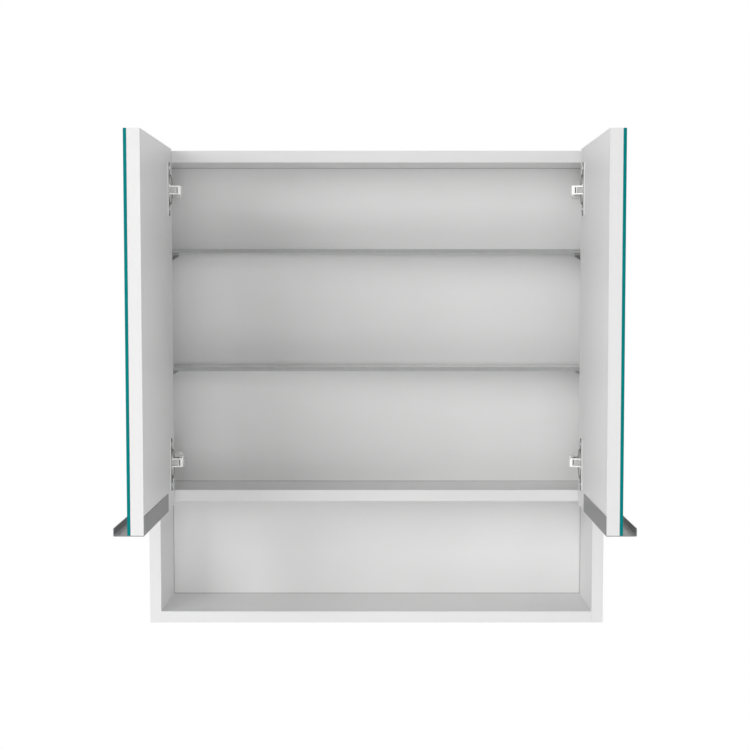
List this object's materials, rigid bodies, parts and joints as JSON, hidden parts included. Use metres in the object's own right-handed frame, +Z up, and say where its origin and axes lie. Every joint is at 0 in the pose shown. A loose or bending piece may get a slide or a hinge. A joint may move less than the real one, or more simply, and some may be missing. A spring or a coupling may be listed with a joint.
{
  "type": "hanging wall cabinet",
  "caption": "White wall cabinet with two mirror doors on concealed cup hinges, glass shelves, an open lower bay and bent sheet handles.",
  "frame": {"origin": "midway between the two hanging holes, on the wall plane", "axes": "+X to the right, the front faces -Y, +Z up, and the wall is the plane Y = 0"},
  "size_m": [0.6014, 0.4535, 0.622],
  "materials": {
    "white_board": "white foil on particle board, satin",
    "back_board": "white lacquered fibre board",
    "mirror_glass": "silvered glass with a green edge",
    "shelf_glass": "clear toughened glass",
    "handle_aluminium": "satin sheet",
    "hinge_nickel": "nickel-plated steel",
    "zinc": "zinc-plated steel",
    "support_steel": "dark nickel",
    "beech": "bare beech",
    "pad_rubber": "translucent soft plastic"
  },
  "bodies": {
    "cabinet": {"side_panel_left": "white_board", "side_panel_right": "white_board", "top_panel": "white_board", "middle_panel": "white_board", "bottom_panel": "white_board", "upper_back_panel": "back_board", "lower_back_panel": "back_board", "dowels": "beech", "cam_bolts": "zinc", "cam_housings": "zinc", "wall_hanger_left": "zinc", "wall_hanger_right": "zinc", "hanger_screws": "zinc", "upper_shelf": "shelf_glass", "lower_shelf": "shelf_glass", "shelf_supports": "support_steel", "shelf_pads": "pad_rubber", "hinge_arm_left_upper": "hinge_nickel", "hinge_plate_left_upper": "hinge_nickel", "hinge_arm_left_lower": "hinge_nickel", "hinge_plate_left_lower": "hinge_nickel", "hinge_arm_right_upper": "hinge_nickel", "hinge_plate_right_upper": "hinge_nickel", "hinge_arm_right_lower": "hinge_nickel", "hinge_plate_right_lower": "hinge_nickel", "arm_pins": "hinge_nickel", "plate_screws": "zinc", "arm_screws": "zinc"},
    "outer_links_left": {"outer_link_left_upper": "hinge_nickel", "outer_link_left_lower": "hinge_nickel"},
    "inner_links_left": {"inner_link_left_upper": "hinge_nickel", "inner_link_left_lower": "hinge_nickel"},
    "door_left": {"door_board_left": "white_board", "door_mirror_left": "mirror_glass", "handle_left": "handle_aluminium", "handle_screws_left": "zinc", "hinge_cup_left_upper": "hinge_nickel", "hinge_cup_left_lower": "hinge_nickel", "cup_screws_left": "zinc", "cup_pins_left": "hinge_nickel"},
    "outer_links_right": {"outer_link_right_upper": "hinge_nickel", "outer_link_right_lower": "hinge_nickel"},
    "inner_links_right": {"inner_link_right_upper": "hinge_nickel", "inner_link_right_lower": "hinge_nickel"},
    "door_right": {"door_board_right": "white_board", "door_mirror_right": "mirror_glass", "handle_right": "handle_aluminium", "handle_screws_right": "zinc", "hinge_cup_right_upper": "hinge_nickel", "hinge_cup_right_lower": "hinge_nickel", "cup_screws_right": "zinc", "cup_pins_right": "hinge_nickel"}
  },
  "joints": [
    {"name": "outer_links_left_turn", "type": "hinge", "parent": "cabinet", "child": "outer_links_left", "pos_m": [-0.2588, -0.1422, 0], "axis": [0, 0, -1], "range_deg": [-4.66, 41.86]},
    {"name": "door_left_swing", "type": "hinge", "parent": "outer_links_left", "child": "door_left", "pos_m": [-0.26941, -0.16985, 0], "axis": [0, 0, -1], "range_deg": [-131.85, 14.65]},
    {"name": "inner_links_left_turn", "type": "hinge", "parent": "cabinet", "child": "inner_links_left", "pos_m": [-0.2638, -0.1336, 0], "axis": [0, 0, -1], "range_deg": [-4.81, 43.21]},
    {"name": "outer_links_right_turn", "type": "hinge", "parent": "cabinet", "child": "outer_links_right", "pos_m": [0.2588, -0.1422, 0], "axis": [0, 0, 1], "range_deg": [-4.66, 41.86]},
    {"name": "door_right_swing", "type": "hinge", "parent": "outer_links_right", "child": "door_right", "pos_m": [0.26941, -0.16985, 0], "axis": [0, 0, 1], "range_deg": [-131.85, 14.65]},
    {"name": "inner_links_right_turn", "type": "hinge", "parent": "cabinet", "child": "inner_links_right", "pos_m": [0.2638, -0.1336, 0], "axis": [0, 0, 1], "range_deg": [-4.81, 43.21]}
  ],
  "couplings": [
    {"joint": "outer_links_left_turn", "follows": "door_left_swing", "ratio": -0.31741},
    {"joint": "inner_links_left_turn", "follows": "door_left_swing", "ratio": -0.32765},
    {"joint": "outer_links_right_turn", "follows": "door_right_swing", "ratio": -0.31741},
    {"joint": "inner_links_right_turn", "follows": "door_right_swing", "ratio": -0.32765}
  ]
}
